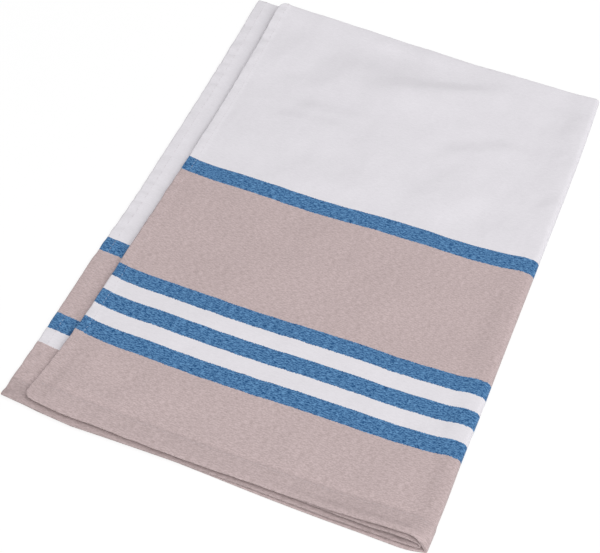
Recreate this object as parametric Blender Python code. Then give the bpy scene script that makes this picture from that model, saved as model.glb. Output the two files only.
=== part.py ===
"""Tea towel of woven cotton, hemmed all round, folded in quarters and lying flat.

The far edge of the pile is the first fold, which brings the towel's two ends together at
the near edge.  The right edge is the second fold, which wraps the outer sheet round the
inner one.  From the floor up the four layers are bottom, third, second and top: bottom and
top are the outer sheet, third and second the inner one.

X runs across the pile towards the lengthwise fold, Y away from the hemmed ends, Z up.
Sizes are in millimetres and are turned into metres when the points are placed.
"""
import math
from collections import namedtuple

import bmesh
import bpy
import numpy as np

METRES = 0.001

# Cloth and hems.
SHEET_THICKNESS = 1.0
HEM_THICKNESS = 1.3
SIDE_HEM_WIDTH = 7.5
END_HEM_DEPTH = 11.0
HEM_STEP = 0.8

# Air between the layers, before any puff is added.  They close up a little over the hems,
# where they ride up over this length.
LAYER_GAP = 0.62
HEM_LAYER_GAP = 0.50
HEM_RIDE_LENGTH = 12.0

# The pile on the floor, in plan.
PILE_LENGTH = 350.0
PILE_WIDTH = 245.0
NEAR_END_Y = -177.0

# The inner sheet's lengthwise fold stops short of the outer sheet's.
INNER_FOLD_SETBACK = 3.0

# The inner layers' edges, as a share of the way from the bottom layer's to the top one's.
THIRD_LAYER_SHARE = 0.35
SECOND_LAYER_SHARE = 0.75

# Open side edges: the covered layer of each pair stops this much short of the other.
COVERED_EDGE_SETBACK = 0.8

# Mesh: stations along each straight run and steps round each fold.
RUN_STATIONS_ACROSS = 10
RUN_STATIONS_ALONG = 13
LENGTHWISE_FOLD_STEPS = 10
CROSSWISE_FOLD_STEPS = 8

# Open side edges: x of the lower and the upper pair of layers at each y.
SideRow = namedtuple("SideRow", "y lower_pair_x upper_pair_x")
OPEN_SIDES = (
    SideRow(-180.0, -136.6, -122.4),
    SideRow(-150.0, -135.3, -119.8),
    SideRow(-105.0, -134.1, -116.4),
    SideRow(-62.0, -133.1, -115.2),
    SideRow(-35.0, -131.5, -114.2),
    SideRow(30.0, -130.6, -112.3),
    SideRow(110.0, -130.5, -111.8),
    SideRow(174.0, -131.9, -112.4),
)

# Hemmed ends: y of the bottom and the top layer at each x.
EndRow = namedtuple("EndRow", "x bottom_layer_y top_layer_y")
HEMMED_ENDS = (
    EndRow(-137.0, -179.4, -172.0),
    EndRow(-118.0, -180.6, -175.9),
    EndRow(-88.0, -181.2, -179.0),
    EndRow(-50.0, -179.4, -178.3),
    EndRow(-10.0, -178.0, -176.8),
    EndRow(40.0, -177.8, -174.9),
    EndRow(75.0, -176.9, -173.3),
    EndRow(110.0, -175.0, -170.4),
    EndRow(122.0, -173.4, -170.6),
)

# Crosswise folds: outermost y of the lower and the upper pair at each x.
CrosswiseFoldRow = namedtuple("CrosswiseFoldRow", "x lower_pair_y upper_pair_y")
CROSSWISE_FOLDS = (
    CrosswiseFoldRow(-132.0, 174.3, 176.6),
    CrosswiseFoldRow(-100.0, 173.4, 175.8),
    CrosswiseFoldRow(-50.0, 172.6, 174.3),
    CrosswiseFoldRow(20.0, 171.4, 172.8),
    CrosswiseFoldRow(80.0, 171.6, 173.2),
    CrosswiseFoldRow(122.0, 173.4, 175.0),
)

# Lengthwise fold: outermost x at each y.
LengthwiseFoldRow = namedtuple("LengthwiseFoldRow", "y outermost_x")
LENGTHWISE_FOLD = (
    LengthwiseFoldRow(-176.0, 121.0),
    LengthwiseFoldRow(-158.0, 122.1),
    LengthwiseFoldRow(-120.0, 121.9),
    LengthwiseFoldRow(-60.0, 122.7),
    LengthwiseFoldRow(30.0, 123.5),
    LengthwiseFoldRow(130.0, 123.6),
    LengthwiseFoldRow(175.0, 122.0),
)

# Soft puffs: rise opens the gap between the pairs, parting the gap inside each pair.
PuffRow = namedtuple("PuffRow", "place x y reach_x reach_y rise parting")
PUFFS = (
    PuffRow("lengthwise fold", 118.0, 0.0, 22.0, 400.0, 1.1, 0.15),
    PuffRow("near right corner", 116.0, -172.0, 34.0, 46.0, 1.2, 0.40),
    PuffRow("far right corner", 112.0, 168.0, 30.0, 40.0, 0.8, 0.25),
    PuffRow("crosswise fold", 0.0, 172.0, 400.0, 14.0, 0.0, 0.30),
    PuffRow("far ridge", 28.0, 128.0, 60.0, 24.0, 0.45, 0.10),
    PuffRow("far hollow", 40.0, 96.0, 70.0, 20.0, -0.30, 0.0),
    PuffRow("middle ridge", -30.0, 30.0, 80.0, 30.0, 0.30, 0.0),
    PuffRow("striped ridge", 10.0, -75.0, 80.0, 26.0, 0.35, 0.05),
    PuffRow("near left corner", -112.0, -168.0, 26.0, 26.0, 0.25, 0.10),
)

# Cotton, off-white, matt.
COTTON_COLOUR = (0.716, 0.708, 0.753, 1.0)
COTTON_ROUGHNESS = 0.92

Station = namedtuple("Station", "run turn")


def curve_through(value, rows, column):
    """Smooth cubic curve through one column of a table whose first column rises."""
    places = np.array([row[0] for row in rows])
    heights = np.array([getattr(row, column) for row in rows])
    slopes = np.gradient(heights, places)
    value = min(max(value, places[0]), places[-1])
    index = min(int(np.searchsorted(places, value, side="right")) - 1, len(places) - 2)
    width = places[index + 1] - places[index]
    share = (value - places[index]) / width
    start, end = heights[index], heights[index + 1]
    start_slope, end_slope = slopes[index] * width, slopes[index + 1] * width
    return (start * (1 - share) ** 2 * (1 + 2 * share)
            + start_slope * share * (1 - share) ** 2
            + end * share ** 2 * (3 - 2 * share)
            - end_slope * share ** 2 * (1 - share))


def smooth_step(value):
    """Ease from 0 to 1."""
    value = min(max(value, 0.0), 1.0)
    return value * value * (3.0 - 2.0 * value)


def blend(start, end, share):
    """Straight mix of two values."""
    return start + (end - start) * share


def puff(x, y, column):
    """Sum of one column of the puffs at a place in the pile."""
    total = 0.0
    for row in PUFFS:
        distance = ((x - row.x) / row.reach_x) ** 2 + ((y - row.y) / row.reach_y) ** 2
        total += getattr(row, column) * math.exp(-distance)
    return total


def hem_share(from_side, from_end, step):
    """1 within a hem's width of an edge, easing to 0 over a step that is centred there."""
    side = 1.0 - smooth_step((from_side - SIDE_HEM_WIDTH) / step + 0.5)
    end = 1.0 - smooth_step((from_end - END_HEM_DEPTH) / step + 0.5)
    return max(side, end)


def cloth_thickness(from_side, from_end):
    """Sheet, or hem within a hem's width of an edge."""
    return blend(SHEET_THICKNESS, HEM_THICKNESS, hem_share(from_side, from_end, HEM_STEP))


def layer_heights(x, y, from_lower_side, from_upper_side, from_end):
    """Mid-heights of the bottom, third, second and top layers at a place in the pile."""
    lower_hem = hem_share(from_lower_side, from_end, HEM_RIDE_LENGTH)
    upper_hem = hem_share(from_upper_side, from_end, HEM_RIDE_LENGTH)
    lower = blend(SHEET_THICKNESS, HEM_THICKNESS, lower_hem)
    upper = blend(SHEET_THICKNESS, HEM_THICKNESS, upper_hem)
    parting = puff(x, y, "parting")
    lower_gap = blend(LAYER_GAP, HEM_LAYER_GAP, lower_hem) + parting
    upper_gap = blend(LAYER_GAP, HEM_LAYER_GAP, upper_hem) + parting
    middle_gap = LAYER_GAP + puff(x, y, "rise")
    bottom = cloth_thickness(from_lower_side, from_end) / 2
    third = lower * 1.5 + lower_gap
    second = third + lower / 2 + middle_gap + upper / 2
    top = second + upper + upper_gap
    return bottom, third, second, top


def folded_stations(run_stations, fold_steps, run_length, hem):
    """Stations from one hem to the fold and back: run 1 at a hem, 0 at the fold, turn 0 to pi."""
    hem_runs = [1.0, 1.0 - (hem - HEM_STEP / 2) / run_length, 1.0 - (hem + HEM_STEP / 2) / run_length]
    plain_runs = list(np.linspace(hem_runs[-1], 0.0, run_stations)[1:])
    runs = hem_runs + plain_runs
    out = [Station(run, 0.0) for run in runs]
    turns = [math.pi * step / fold_steps for step in range(1, fold_steps)]
    round_fold = [Station(0.0, turn) for turn in turns]
    back = [Station(run, math.pi) for run in reversed(runs)]
    return out + round_fold + back


def folded_place(across, along):
    """Mid-surface point of the cloth, in millimetres, for a station across and one along."""
    up = (1.0 + math.cos(across.turn)) / 2
    out = (1.0 + math.cos(along.turn)) / 2

    # Nominal place in plan, good enough to read the tables with.
    nominal_y = blend(curve_through(0.0, CROSSWISE_FOLDS, "upper_pair_y"), NEAR_END_Y, along.run)
    outermost_x = curve_through(nominal_y, LENGTHWISE_FOLD, "outermost_x")
    lower_side = curve_through(nominal_y, OPEN_SIDES, "lower_pair_x")
    upper_side = curve_through(nominal_y, OPEN_SIDES, "upper_pair_x")
    side = blend(lower_side, upper_side, up)
    nominal_x = blend(outermost_x, side, across.run)
    from_end = (1.0 - along.run) * PILE_LENGTH

    # Heights of the four layers, and the radius of each sheet's lengthwise fold.
    from_lower_side = PILE_WIDTH * (nominal_x - lower_side) / (outermost_x - lower_side)
    from_upper_side = PILE_WIDTH * (nominal_x - upper_side) / (outermost_x - upper_side)
    bottom, third, second, top = layer_heights(
        nominal_x, nominal_y, from_lower_side, from_upper_side, from_end)
    outer_radius = (top - bottom) / 2
    inner_radius = (second - third) / 2
    outer_fold_x = outermost_x - outer_radius - SHEET_THICKNESS / 2
    inner_fold_x = outer_fold_x - INNER_FOLD_SETBACK

    # Across the pile, each sheet's place on its own way round the lengthwise fold.
    outer_side = side + COVERED_EDGE_SETBACK * (1.0 - up)
    inner_side = side + COVERED_EDGE_SETBACK * up
    outer_x = blend(outer_fold_x, outer_side, across.run) + outer_radius * math.sin(across.turn)
    inner_x = blend(inner_fold_x, inner_side, across.run) + inner_radius * math.sin(across.turn)
    outer_z = (top + bottom) / 2 + outer_radius * math.cos(across.turn)
    inner_z = (second + third) / 2 + inner_radius * math.cos(across.turn)

    # Along the pile, each pair's place on its way round the crosswise fold.
    bend_radius = math.hypot(outer_x - inner_x, outer_z - inner_z) / 2
    x = blend(inner_x, outer_x, out)
    z = blend(inner_z, outer_z, out)
    fold_y = blend(
        curve_through(x, CROSSWISE_FOLDS, "lower_pair_y"),
        curve_through(x, CROSSWISE_FOLDS, "upper_pair_y"),
        up,
    )
    bottom_end = curve_through(x, HEMMED_ENDS, "bottom_layer_y")
    top_end = curve_through(x, HEMMED_ENDS, "top_layer_y")
    inner_share = blend(THIRD_LAYER_SHARE, SECOND_LAYER_SHARE, up)
    end_y = blend(bottom_end, top_end, blend(inner_share, up, out))
    straight_y = blend(fold_y - bend_radius - SHEET_THICKNESS / 2, end_y, along.run)
    y = straight_y + bend_radius * math.sin(along.turn)
    return x, y, z


def hem_weight(across, along):
    """Share of the hem's thickness that the cloth has at a pair of stations."""
    from_side = (1.0 - across.run) * PILE_WIDTH
    from_end = (1.0 - along.run) * PILE_LENGTH
    return cloth_thickness(from_side, from_end) / HEM_THICKNESS


def cotton_material():
    """Matt off-white cotton."""
    material = bpy.data.materials.new("cotton")
    material.use_nodes = True
    shader = material.node_tree.nodes["Principled BSDF"]
    shader.inputs["Base Color"].default_value = COTTON_COLOUR
    shader.inputs["Roughness"].default_value = COTTON_ROUGHNESS
    shader.inputs["Metallic"].default_value = 0.0
    return material


def towel_mid_surface():
    """Grid of the flat cloth, each point moved to its place in the folded pile."""
    across = folded_stations(
        RUN_STATIONS_ACROSS, LENGTHWISE_FOLD_STEPS, PILE_WIDTH, SIDE_HEM_WIDTH)
    along = folded_stations(
        RUN_STATIONS_ALONG, CROSSWISE_FOLD_STEPS, PILE_LENGTH, END_HEM_DEPTH)
    sheet = bmesh.new()
    weights = []
    rows = []
    for along_station in along:
        row = []
        for across_station in across:
            x, y, z = folded_place(across_station, along_station)
            row.append(sheet.verts.new((x * METRES, y * METRES, z * METRES)))
            weights.append(hem_weight(across_station, along_station))
        rows.append(row)
    for near, far in zip(rows, rows[1:]):
        for left, right in zip(range(len(across) - 1), range(1, len(across))):
            sheet.faces.new((near[left], near[right], far[right], far[left]))
    mesh = bpy.data.meshes.new("towel")
    sheet.to_mesh(mesh)
    sheet.free()
    return mesh, weights


def centre_on_floor(mesh):
    """Put the middle of the pile's outline over the origin.

    Only the two folds reach half a thickness past the mid-surface, at the high ends of X and Y.
    """
    points = np.array([vertex.co for vertex in mesh.vertices])
    fold_reach = SHEET_THICKNESS / 2 * METRES
    middle = (points.min(axis=0) + points.max(axis=0) + fold_reach) / 2
    for vertex in mesh.vertices:
        vertex.co.x -= middle[0]
        vertex.co.y -= middle[1]


def build_towel():
    """The folded towel: mid-surface, hems as weights, and a thickness."""
    mesh, weights = towel_mid_surface()
    centre_on_floor(mesh)
    mesh.materials.append(cotton_material())
    mesh.shade_smooth()
    towel = bpy.data.objects.new("towel", mesh)
    bpy.context.scene.collection.objects.link(towel)
    hems = towel.vertex_groups.new(name="hems")
    for index, weight in enumerate(weights):
        hems.add([index], weight, "REPLACE")
    thickness = towel.modifiers.new("thickness", "SOLIDIFY")
    thickness.thickness = HEM_THICKNESS * METRES
    thickness.offset = 0.0
    thickness.vertex_group = hems.name
    thickness.use_rim = True
    return towel


def main():
    """Clear the scene and build the towel."""
    for item in list(bpy.data.objects):
        bpy.data.objects.remove(item, do_unlink=True)
    build_towel()


main()
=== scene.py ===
"""Striped cotton tea towel, hemmed all round, folded in quarters and lying flat.

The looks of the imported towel: a fine closed cloth mesh on the folds of its solid, the hem
stitching, the woven finish, and a pale studio at the photograph's viewing angle.

The far edge of the pile is the crosswise fold, which brings the two hemmed ends together at
the near edge.  The right edge is the lengthwise fold, which wraps the outer sheet round the
inner one.  From the floor up the layers are bottom, third, second and top: bottom and top
are the outer sheet, third and second the inner one.

Sizes are in millimetres until a mesh is written, and places in plan are the pile's own:
X towards the lengthwise fold, Y away from the hemmed ends.
"""
import logging
import math
from dataclasses import dataclass, field
from enum import Enum
from typing import NamedTuple, Sequence

import bpy
import numpy as np
from mathutils import Matrix, Vector


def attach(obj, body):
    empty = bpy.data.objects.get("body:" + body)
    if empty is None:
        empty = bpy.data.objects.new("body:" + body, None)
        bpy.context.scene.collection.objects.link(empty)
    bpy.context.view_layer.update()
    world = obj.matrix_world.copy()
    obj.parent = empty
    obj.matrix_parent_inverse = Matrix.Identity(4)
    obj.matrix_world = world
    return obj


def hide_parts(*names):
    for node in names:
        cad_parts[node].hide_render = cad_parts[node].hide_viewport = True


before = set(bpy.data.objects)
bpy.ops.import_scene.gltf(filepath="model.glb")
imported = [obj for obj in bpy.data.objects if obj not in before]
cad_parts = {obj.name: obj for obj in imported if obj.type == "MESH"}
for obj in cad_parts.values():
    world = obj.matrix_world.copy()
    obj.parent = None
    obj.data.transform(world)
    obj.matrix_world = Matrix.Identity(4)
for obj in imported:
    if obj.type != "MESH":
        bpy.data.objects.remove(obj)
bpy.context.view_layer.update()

LOG = logging.getLogger("tea_towel")
METRES = 0.001

# Flat towel, in millimetres.
TOWEL_WIDTH = 500.0
TOWEL_LENGTH = 700.0
SIDE_HEM_WIDTH = 7.5
END_HEM_DEPTH = 13.3


class Yarn(Enum):
    """Weft yarns of the towel."""

    WHITE = "white"
    BEIGE = "beige"
    BLUE = "blue"


class Stripe(NamedTuple):
    """Band of one weft yarn, in millimetres from its own end of the cloth.

    Between the bands the weft is white.
    """

    yarn: Yarn
    start: float
    end: float


OUTER_END_STRIPES = (
    Stripe(Yarn.BEIGE, -5.0, 51.6),
    Stripe(Yarn.BLUE, 51.6, 62.4),
    Stripe(Yarn.BLUE, 73.1, 83.8),
    Stripe(Yarn.BLUE, 94.3, 104.6),
    Stripe(Yarn.BEIGE, 104.6, 186.8),
    Stripe(Yarn.BLUE, 186.8, 197.9),
)
INNER_END_STRIPES = (
    Stripe(Yarn.BEIGE, -5.0, 40.0),
    Stripe(Yarn.BLUE, 50.9, 62.5),
    Stripe(Yarn.BEIGE, 62.5, 113.3),
    Stripe(Yarn.BLUE, 113.3, 123.9),
)


class SideRow(NamedTuple):
    """Open side edges: x of the lower and the upper pair of layers at one y."""

    y: float
    lower_pair_x: float
    upper_pair_x: float


OPEN_SIDES = (
    SideRow(-180.0, -135.8, -122.2),
    SideRow(-168.0, -135.3, -121.6),
    SideRow(-150.0, -134.4, -118.9),
    SideRow(-130.0, -133.7, -116.3),
    SideRow(-105.0, -133.1, -114.9),
    SideRow(-62.0, -132.1, -114.1),
    SideRow(-35.0, -130.7, -113.2),
    SideRow(30.0, -129.7, -111.7),
    SideRow(110.0, -129.5, -111.4),
    SideRow(150.0, -130.0, -112.2),
    SideRow(174.0, -130.6, -112.4),
)


class EndRow(NamedTuple):
    """Hemmed ends: y of each layer's end at one x."""

    x: float
    bottom_layer_y: float
    third_layer_y: float
    second_layer_y: float
    top_layer_y: float


HEMMED_ENDS = (
    EndRow(-137.0, -179.0, -179.9, -172.1, -172.7),
    EndRow(-118.0, -179.7, -180.8, -176.3, -176.9),
    EndRow(-97.0, -180.9, -182.1, -177.9, -178.5),
    EndRow(-75.0, -180.5, -181.4, -177.2, -177.8),
    EndRow(-53.0, -179.2, -180.2, -177.0, -177.6),
    EndRow(-16.0, -178.1, -178.3, -176.1, -176.8),
    EndRow(2.0, -178.1, -177.7, -175.2, -176.0),
    EndRow(20.0, -178.1, -177.1, -174.3, -175.1),
    EndRow(50.0, -177.8, -176.6, -173.7, -174.0),
    EndRow(72.0, -177.2, -176.0, -173.9, -173.2),
    EndRow(84.0, -176.7, -175.4, -173.7, -172.4),
    EndRow(97.0, -176.5, -174.8, -173.0, -171.3),
    EndRow(104.0, -176.4, -174.6, -172.7, -170.8),
    EndRow(110.0, -175.8, -174.2, -172.3, -170.5),
    EndRow(115.0, -175.1, -173.8, -172.3, -171.0),
    EndRow(118.0, -174.6, -173.6, -172.8, -172.0),
    EndRow(122.0, -174.0, -173.4, -173.0, -173.0),
)


class CrosswiseFoldRow(NamedTuple):
    """Crosswise folds: outermost y of the lower and the upper pair at one x."""

    x: float
    lower_pair_y: float
    upper_pair_y: float


CROSSWISE_FOLDS = (
    CrosswiseFoldRow(-132.0, 174.0, 173.6),
    CrosswiseFoldRow(-112.0, 173.5, 173.5),
    CrosswiseFoldRow(-98.0, 173.1, 174.0),
    CrosswiseFoldRow(-82.0, 172.8, 174.2),
    CrosswiseFoldRow(-50.0, 172.0, 174.4),
    CrosswiseFoldRow(-23.0, 171.4, 173.9),
    CrosswiseFoldRow(7.0, 170.9, 172.4),
    CrosswiseFoldRow(50.0, 170.8, 172.0),
    CrosswiseFoldRow(80.0, 170.9, 172.6),
    CrosswiseFoldRow(110.0, 172.0, 174.1),
    CrosswiseFoldRow(122.0, 172.4, 175.1),
)


class LengthwiseFoldRow(NamedTuple):
    """Lengthwise fold at one y.

    outermost_x is its outline, nose_length how far inside it the outer sheet starts to bend,
    droop how much more of the bend's height is lost early on (1 is an even oval), and
    sheet_pitch how far inside the outline the inner sheet starts to bend.
    """

    y: float
    outermost_x: float
    nose_length: float
    droop: float
    sheet_pitch: float


LENGTHWISE_FOLD = (
    LengthwiseFoldRow(-176.5, 121.7, 8.5, 4.4, 5.2),
    LengthwiseFoldRow(-171.0, 122.0, 5.0, 1.9, 4.0),
    LengthwiseFoldRow(-164.0, 122.3, 2.8, 1.0, 2.3),
    LengthwiseFoldRow(-148.0, 122.6, 2.6, 1.0, 2.2),
    LengthwiseFoldRow(-120.0, 122.5, 3.1, 1.0, 2.4),
    LengthwiseFoldRow(-88.0, 123.1, 3.2, 1.0, 2.4),
    LengthwiseFoldRow(-60.0, 123.2, 3.4, 1.0, 2.5),
    LengthwiseFoldRow(30.0, 123.9, 3.4, 1.0, 2.5),
    LengthwiseFoldRow(130.0, 124.3, 3.3, 1.0, 2.5),
    LengthwiseFoldRow(175.0, 123.3, 2.8, 1.0, 2.3),
)


class Puff(NamedTuple):
    """Soft swelling: rise opens the gap between the pairs, parting the gap inside each.

    place names the row for the reader.
    """

    place: str
    x: float
    y: float
    reach_x: float
    reach_y: float
    rise: float
    parting: float


PUFFS = (
    Puff("lengthwise fold", 119.5, 0.0, 13.0, 400.0, 0.65, 0.10),
    Puff("near right corner", 110.0, -172.0, 36.0, 50.0, 1.5, 0.50),
    Puff("far right corner", 122.0, 176.0, 26.0, 30.0, -1.1, -0.40),
    Puff("far left corner", -112.0, 176.0, 14.0, 24.0, 1.5, 0.10),
    Puff("crosswise fold", 0.0, 172.0, 400.0, 14.0, 0.0, 0.30),
    Puff("far ridge", 28.0, 128.0, 60.0, 24.0, 0.45, 0.10),
    Puff("far hollow", 40.0, 96.0, 70.0, 20.0, -0.30, 0.0),
    Puff("middle ridge", -30.0, 30.0, 80.0, 30.0, 0.30, 0.0),
    Puff("striped ridge", 10.0, -75.0, 80.0, 26.0, 0.35, 0.05),
    Puff("near left corner", -112.0, -168.0, 26.0, 26.0, 0.25, 0.10),
)


class HemStackRow(NamedTuple):
    """Near edge of the pile: air between the four hemmed ends at one x."""

    x: float
    bottom_gap: float
    middle_gap: float
    top_gap: float


HEM_STACK = (
    HemStackRow(-137.0, 0.05, 0.05, 0.10),
    HemStackRow(-60.0, 0.05, 0.05, 0.15),
    HemStackRow(-10.0, 0.05, 0.05, 0.12),
    HemStackRow(20.0, 0.20, 0.05, 0.15),
    HemStackRow(37.0, 0.35, 0.15, 0.15),
    HemStackRow(50.0, 0.50, 0.35, 0.35),
    HemStackRow(72.0, 0.95, 1.15, 0.80),
    HemStackRow(84.0, 0.90, 1.55, 1.15),
    HemStackRow(97.0, 0.90, 1.90, 1.40),
    HemStackRow(104.0, 0.80, 2.70, 1.10),
    HemStackRow(109.0, 0.80, 2.60, 1.20),
    HemStackRow(113.0, 1.10, 1.10, 1.90),
    HemStackRow(117.0, 1.20, 0.12, 2.40),
    HemStackRow(122.0, 1.20, 0.12, 2.40),
)


class WeftRow(NamedTuple):
    """How far the weft has slipped towards the near edge at one x."""

    x: float
    slip: float


WEFT_SLIP = (
    WeftRow(-115.0, 0.4),
    WeftRow(-60.0, 0.8),
    WeftRow(-5.0, 0.5),
    WeftRow(55.0, 0.0),
    WeftRow(85.0, 0.3),
    WeftRow(100.0, 0.4),
    WeftRow(112.0, -0.6),
    WeftRow(120.0, -3.0),
)


class Crease(NamedTuple):
    """Soft crease of the top layers along a line in plan, bowed to its right.

    place names the row for the reader; step is how much the cloth on the line's right-hand
    side swells over the cloth on its left; bow is how far the line's middle lies to its
    right; ridge is the height of a rounded ridge on the line, below 0 a trough; lean is how
    much wider the crease runs out on its left; taper is its width at the end as a share of
    its width at the start, and its height goes with it.
    """

    place: str
    start_x: float
    start_y: float
    end_x: float
    end_y: float
    width: float
    step: float = 0.0
    bow: float = 0.0
    ridge: float = 0.0
    lean: float = 0.0
    taper: float = 1.0


CREASES = (
    Crease("far main crease", -26.0, 130.0, 58.0, 159.0, 15.0, 4.40, bow=1.0, lean=0.4, taper=0.5),
    Crease("far left hollow", -62.0, 134.0, 2.0, 150.0, 20.0, 3.50, lean=0.1),
    Crease("far lit band", -40.0, 163.0, 30.0, 165.0, 7.0, -1.40),
    Crease("lit band below", -2.0, 116.0, 50.0, 130.0, 10.0, -0.40),
    Crease("far left dent", -86.0, 111.0, -54.0, 116.0, 7.0, 0.65, bow=0.5),
    Crease("far left corner dent", -94.0, 142.0, -72.0, 157.0, 8.0, 0.40),
    Crease("left edge dent", -100.0, 122.0, -88.0, 133.0, 6.0, 0.30),
    Crease("left lit band", -68.0, 103.0, -32.0, 108.0, 7.0, -0.50),
    Crease("upper left crease", -68.0, 91.0, -22.0, 96.0, 10.0, 2.20, lean=0.2),
    Crease("lower left crease", -78.0, 79.0, -22.0, 85.0, 6.0, 1.10, bow=0.6),
    Crease("right slanting crease", 36.0, 91.0, 82.0, 116.0, 10.0, 1.75, bow=0.8, lean=0.2),
    Crease("right slant run-out", 80.0, 108.0, 122.0, 122.0, 10.0, 1.10, lean=0.3),
    Crease("middle steep crease", 28.0, 16.0, 38.0, 58.0, 12.0, 0.70, bow=-2.0, lean=0.3),
    Crease("middle steep run-out", 38.0, 62.0, 62.0, 88.0, 10.0, 0.50),
    Crease("middle lit slope", 50.0, 28.0, 80.0, 62.0, 17.0, -2.50),
    Crease("lower lit slope", -40.0, 28.0, 22.0, 36.0, 16.0, -1.70),
    Crease("left steep crease", -62.0, 18.0, -46.0, 46.0, 7.0, 0.45, bow=0.8),
    Crease("right low swell", 84.0, 34.0, 116.0, 56.0, 13.0, 0.80),
    Crease("fold dent, far", 107.0, 126.0, 114.0, 158.0, 13.0, 1.50),
    Crease("fold dent, low", 104.0, 88.0, 112.0, 112.0, 11.0, 0.60),
    Crease("fold dent, middle", 109.0, 68.0, 121.0, 78.0, 5.5, 1.00),
    Crease("beige left hollow", -114.0, -8.0, -64.0, 2.0, 11.0, 0.80),
    Crease("beige middle hollow", -32.0, -12.0, 2.0, 6.0, 11.0, 0.50),
    Crease("beige steep dent", 14.0, -18.0, 20.0, 6.0, 7.0, 0.35),
    Crease("beige slanting dent", 20.0, -44.0, 42.0, -10.0, 9.0, 0.35),
    Crease("beige ridge", -60.0, -40.0, 24.0, -30.0, 16.0, bow=1.0, ridge=0.80),
    Crease("beige left dent", -82.0, -44.0, -66.0, -38.0, 4.5, 0.60),
    Crease("beige lit slope", 40.0, -50.0, 88.0, -20.0, 16.0, -1.10),
    Crease("beige right dent", 108.0, -62.0, 111.0, -4.0, 8.0, 0.90),
    Crease("striped ridge", -116.0, -100.0, 10.0, -84.0, 14.0, ridge=0.70),
    Crease("striped right dent", 109.0, -118.0, 110.0, -66.0, 8.0, 0.80),
    Crease("near left swell", -122.0, -122.0, -90.0, -140.0, 9.0, bow=1.0, ridge=1.00),
    Crease("near left dent", -80.0, -160.0, -60.0, -140.0, 7.0, 0.70),
    Crease("near left corner dent", -111.0, -174.0, -107.0, -150.0, 9.0, 1.10),
    Crease("hem lit band", -98.0, -161.0, -56.0, -162.0, 4.0, -0.40),
    Crease("near right dent", 112.0, -166.0, 114.0, -122.0, 8.0, 1.20),
)


class Crumple(NamedTuple):
    """Random swell of the top layers: its height, its waves' usual length, its pattern."""

    height: float
    length: float
    seed: int


CRUMPLES = (
    Crumple(0.30, 52.0, 11),
    Crumple(0.09, 21.0, 12),
)

# Random swells: how many waves make one, and their lengths as shares of the usual length.
SWELL_WAVES = 14
SWELL_LENGTHS = (0.7, 1.6)


def curve_through(value: np.ndarray, rows: Sequence[NamedTuple], column: str) -> np.ndarray:
    """Smooth cubic curve through one column of a table whose first column rises.

    Args:
        value: Places to read the curve at.
        rows: The table.
        column: Name of the column to follow.

    Returns:
        The curve's height at each place.
    """
    places = np.array([row[0] for row in rows])
    heights = np.array([getattr(row, column) for row in rows])
    slopes = np.gradient(heights, places)
    value = np.clip(value, places[0], places[-1])
    index = np.clip(np.searchsorted(places, value, side="right") - 1, 0, len(places) - 2)
    width = places[index + 1] - places[index]
    share = (value - places[index]) / width
    return (heights[index] * (1 - share) ** 2 * (1 + 2 * share)
            + slopes[index] * width * share * (1 - share) ** 2
            + heights[index + 1] * share ** 2 * (3 - 2 * share)
            - slopes[index + 1] * width * share ** 2 * (1 - share))


def smooth_step(value: np.ndarray) -> np.ndarray:
    """Ease from 0 to 1."""
    value = np.clip(value, 0.0, 1.0)
    return value * value * (3.0 - 2.0 * value)


def mix(start: np.ndarray, end: np.ndarray, share: np.ndarray) -> np.ndarray:
    """Straight mix of two values."""
    return start + (end - start) * share


def curve_between(
    value: np.ndarray, rows: Sequence[NamedTuple], columns: tuple[str, str], share: np.ndarray
) -> np.ndarray:
    """Mix of the curves through two columns of a table, the second by the share."""
    start, end = (curve_through(value, rows, column) for column in columns)
    return mix(start, end, share)


def from_edges(across: np.ndarray, along: np.ndarray) -> tuple[np.ndarray, np.ndarray]:
    """Distances on the flat cloth from its nearest side and from its nearest end."""
    return (TOWEL_WIDTH / 2 - np.abs(across - TOWEL_WIDTH / 2),
            TOWEL_LENGTH / 2 - np.abs(along - TOWEL_LENGTH / 2))


def unit(vectors: np.ndarray) -> np.ndarray:
    """The same directions at length 1."""
    return vectors / np.linalg.norm(vectors, axis=-1, keepdims=True)


def unevenness(x: np.ndarray, y: np.ndarray, length: float, seed: int) -> np.ndarray:
    """Smooth random swell, about -1 to 1, whose waves are near one length.

    Args:
        x: Places in plan.
        y: Places in plan.
        length: Usual distance between two swells.
        seed: Picks one pattern.

    Returns:
        The swell at each place.
    """
    chance = np.random.RandomState(seed)
    total = np.zeros(np.broadcast(x, y).shape)
    for _ in range(SWELL_WAVES):
        angle = chance.uniform(0.0, math.pi)
        pitch = length * chance.uniform(*SWELL_LENGTHS)
        phase = chance.uniform(0.0, 2.0 * math.pi)
        along = x * math.cos(angle) + y * math.sin(angle)
        total += np.sin(2.0 * math.pi * along / pitch + phase)
    return total / math.sqrt(SWELL_WAVES / 2.0) / 2.0


class ClothPoint(NamedTuple):
    """Points of the folded cloth and their places on the flat cloth."""

    place: np.ndarray
    from_first_side: np.ndarray
    from_first_end: np.ndarray


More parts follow.
